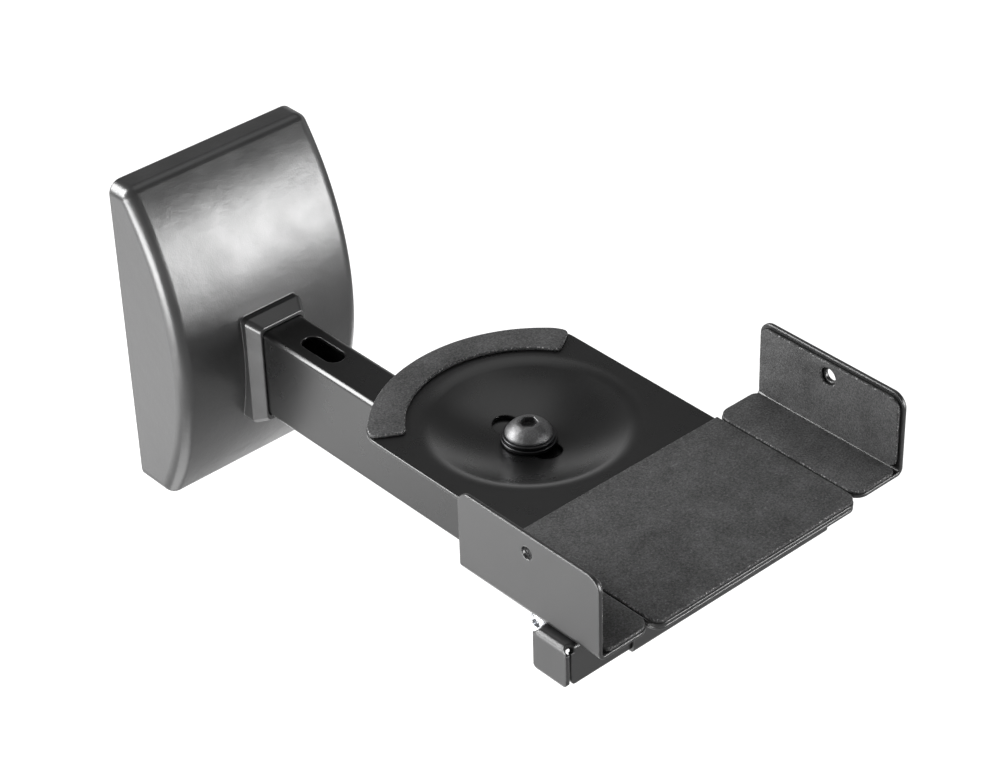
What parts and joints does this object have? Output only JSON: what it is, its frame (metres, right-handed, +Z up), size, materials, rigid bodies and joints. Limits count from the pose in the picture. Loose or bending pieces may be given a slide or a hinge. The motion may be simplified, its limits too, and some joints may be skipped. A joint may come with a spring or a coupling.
{
  "type": "speaker wall bracket",
  "caption": "Black steel wall bracket for a loudspeaker: curved plastic wall cover, square arm, dished swivel and tilt tray, and padded side jaws that close on the cabinet.",
  "frame": {"origin": "centre of the wall plate's back face, on the wall", "axes": "X across the bracket, +Y into the wall so that the arm runs along -Y, +Z up"},
  "size_m": [0.1532, 0.3021, 0.141],
  "materials": {
    "cover_plastic": "satin",
    "black_coat": "satin",
    "jaw_coat": "satin",
    "pad_rubber": "matt",
    "dark_screw": "satin",
    "zinc": "bright",
    "cap_plastic": "matt"
  },
  "bodies": {
    "wall_frame": {"wall_plate": "black_coat", "arm_tube": "black_coat", "arm_end_cap": "cap_plastic", "pivot_spacer": "zinc", "pivot_seat": "black_coat", "pivot_screw": "dark_screw", "pivot_nut": "dark_screw", "pivot_washer_under": "dark_screw"},
    "cover": {"wall_cover": "cover_plastic"},
    "swivel": {"pivot_washer_lower": "dark_screw", "pivot_washer_upper": "dark_screw"},
    "tray": {"tray": "black_coat", "main_pad": "pad_rubber", "arc_pad": "pad_rubber", "guide_channel": "black_coat"},
    "jaw_left": {"jaw_left": "jaw_coat", "side_pad_left": "pad_rubber", "foot_pad_left": "pad_rubber", "slider_left": "black_coat", "clamp_nut_left": "zinc"},
    "jaw_right": {"jaw_right": "jaw_coat", "side_pad_right": "pad_rubber", "foot_pad_right": "pad_rubber", "slider_right": "black_coat", "clamp_nut_right": "zinc"},
    "clamp_screw": {"clamp_screw": "zinc", "clamp_clip_left": "zinc", "clamp_clip_right": "zinc"}
  },
  "joints": [
    {"name": "cover_slide", "type": "slide", "parent": "wall_frame", "child": "cover", "axis": [0, 1, 0], "range_m": [-0.032, 0]},
    {"name": "swivel_turn", "type": "hinge", "parent": "wall_frame", "child": "swivel", "pos_m": [0, -0.1877, 0.026], "axis": [0, 0, 1], "range_deg": [-90, 90]},
    {"name": "tray_tilt", "type": "hinge", "parent": "swivel", "child": "tray", "pos_m": [0, -0.1877, 0.109], "axis": [1, 0, 0], "range_deg": [-8, 6.5]},
    {"name": "jaw_left_slide", "type": "slide", "parent": "tray", "child": "jaw_left", "axis": [-1, 0, 0], "range_m": [0, 0.05]},
    {"name": "jaw_right_slide", "type": "slide", "parent": "tray", "child": "jaw_right", "axis": [1, 0, 0], "range_m": [0, 0.05]},
    {"name": "clamp_turn", "type": "hinge", "parent": "tray", "child": "clamp_screw", "pos_m": [0, -0.2667, 0.0262], "axis": [1, 0, 0], "range_deg": [-22500, 0]}
  ],
  "couplings": [
    {"joint": "jaw_right_slide", "follows": "jaw_left_slide", "ratio": 1},
    {"joint": "clamp_turn", "follows": "jaw_left_slide", "rad_per_m": -7854}
  ]
}
